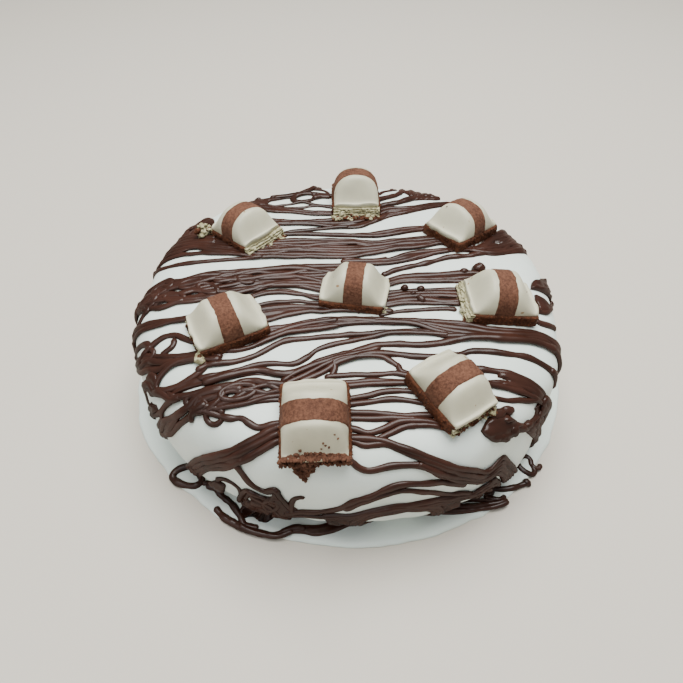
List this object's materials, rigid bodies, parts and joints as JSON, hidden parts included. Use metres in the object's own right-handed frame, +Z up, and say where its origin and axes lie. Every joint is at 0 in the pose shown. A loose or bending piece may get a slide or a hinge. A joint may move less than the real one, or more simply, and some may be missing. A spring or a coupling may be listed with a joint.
{
  "type": "drizzled cream cake",
  "caption": "Round cake under a white cream coat, crossed by bands of dark chocolate drizzle and set with short pieces of two-tone wafer bar, with a thin pool of cream round its foot.",
  "frame": {"origin": "middle of the footprint, on the flat underside", "axes": "+Z up, -Y towards the viewer of the picture, +X to the viewer's right"},
  "size_m": [0.2164, 0.2018, 0.074],
  "materials": {
    "cream": "satin",
    "chocolate": "gloss",
    "white_coat": "satin",
    "cocoa": "matte",
    "wafer": "matte"
  },
  "bodies": {
    "root": {"cake": "cream", "bar_1_coat": "white_coat", "bar_1_cocoa": "cocoa", "bar_1_wafer": "wafer", "bar_2_coat": "white_coat", "bar_2_cocoa": "cocoa", "bar_2_wafer": "wafer", "bar_3_coat": "white_coat", "bar_3_cocoa": "cocoa", "bar_4_coat": "white_coat", "bar_4_cocoa": "cocoa", "bar_4_wafer": "wafer", "bar_5_coat": "white_coat", "bar_5_cocoa": "cocoa", "bar_5_wafer": "wafer", "bar_6_coat": "white_coat", "bar_6_cocoa": "cocoa", "bar_6_wafer": "wafer", "bar_7_coat": "white_coat", "bar_7_cocoa": "cocoa", "bar_8_coat": "white_coat", "bar_8_cocoa": "cocoa", "bar_8_wafer": "wafer"}
  },
  "joints": []
}
